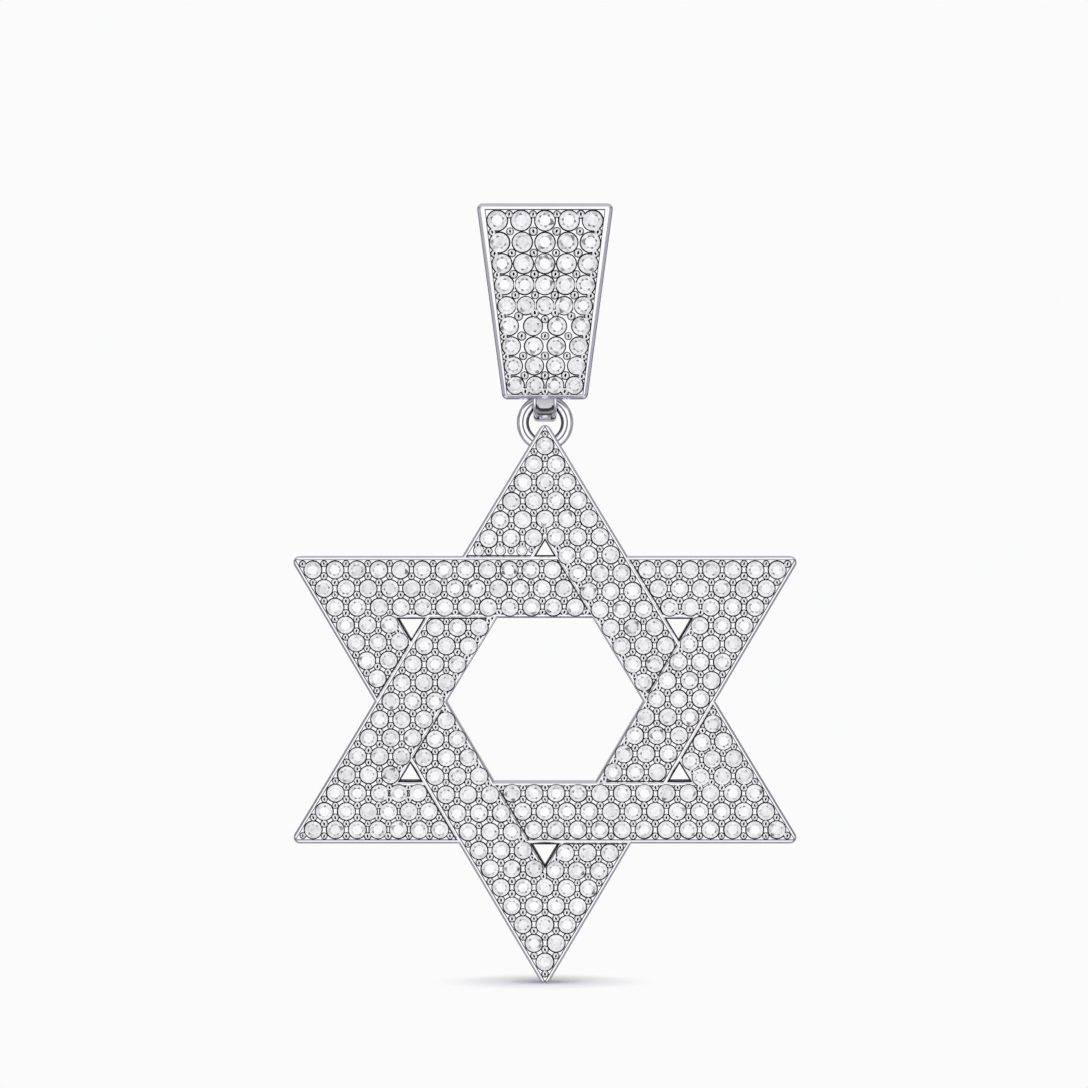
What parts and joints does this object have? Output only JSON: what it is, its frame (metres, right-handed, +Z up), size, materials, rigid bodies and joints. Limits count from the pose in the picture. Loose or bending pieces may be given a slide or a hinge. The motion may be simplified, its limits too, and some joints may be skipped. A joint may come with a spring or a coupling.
{
  "type": "star of david pendant",
  "caption": "Six-pointed star pendant of two interlaced triangles set with round stones, hanging by a jump ring from a tapered stone-set bail.",
  "frame": {"origin": "crown of the bail's hollow, in the middle of its width, where a chain bears and the pendant hangs", "axes": "+Z up along the hanging line, -Y out of the stone-set front, +X to the right as seen from the front"},
  "size_m": [0.0402, 0.0077, 0.0624],
  "materials": {
    "silver": "polished rhodium-plated silver",
    "stone": "polished round cut stone"
  },
  "bodies": {
    "bail body": {"bail": "silver", "bail_stones": "stone"},
    "ring body": {"jump_ring": "silver"},
    "star body": {"star_frame": "silver", "up_triangle_stones": "stone", "down_triangle_stones": "stone"}
  },
  "joints": [
    {"name": "ring_swing", "type": "hinge", "parent": "bail body", "child": "ring body", "pos_m": [0, -0.0013, -0.01452], "axis": [1, 0, 0], "range_deg": [-30, 30]},
    {"name": "star_swing", "type": "hinge", "parent": "ring body", "child": "star body", "pos_m": [0, -0.0013, -0.0181], "axis": [1, 0, 0], "range_deg": [-20, 20]}
  ]
}
